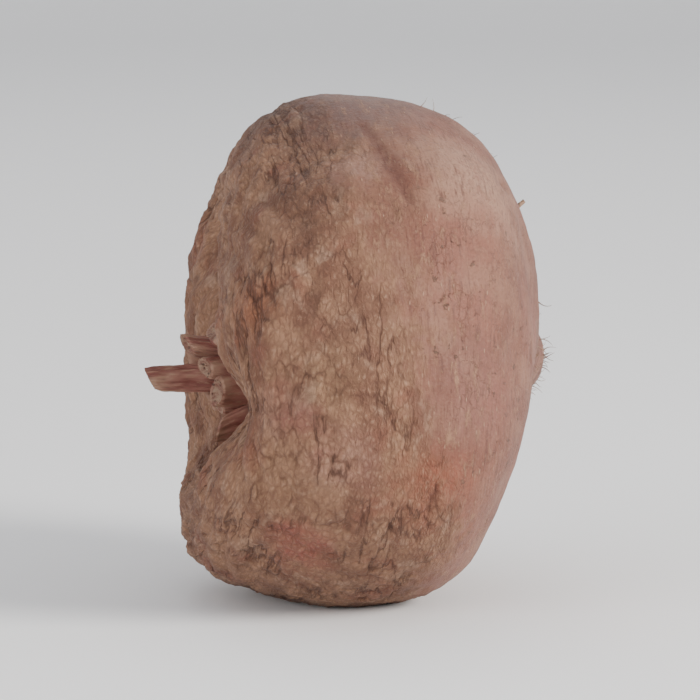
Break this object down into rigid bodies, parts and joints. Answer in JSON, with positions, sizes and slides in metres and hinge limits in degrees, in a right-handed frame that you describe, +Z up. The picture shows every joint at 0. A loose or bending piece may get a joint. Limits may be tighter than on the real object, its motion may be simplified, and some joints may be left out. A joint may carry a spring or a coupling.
{
  "type": "beetroot",
  "caption": "Flat-globed raw beetroot with a corky shoulder, cut leaf stalks in its sunken crown, and a tap root bent to one side.",
  "frame": {"origin": "middle of the small flat spot that the globe rests on, under its widest girth", "axes": "+Z up; the crown with its cut stalks faces -X; the base faces +X, and the tail bends from it towards +Y, the longest way across the part"},
  "size_m": [0.0566, 0.0749, 0.0661],
  "materials": {
    "root_skin": "dry, dull, dusty mauve-brown skin with rough tan cork over the shoulder",
    "leaf_stalk": "dry, dull, dusky pink-red cut stalks"
  },
  "bodies": {
    "root": {"root": "root_skin", "leaf_stalks": "leaf_stalk"}
  },
  "joints": []
}
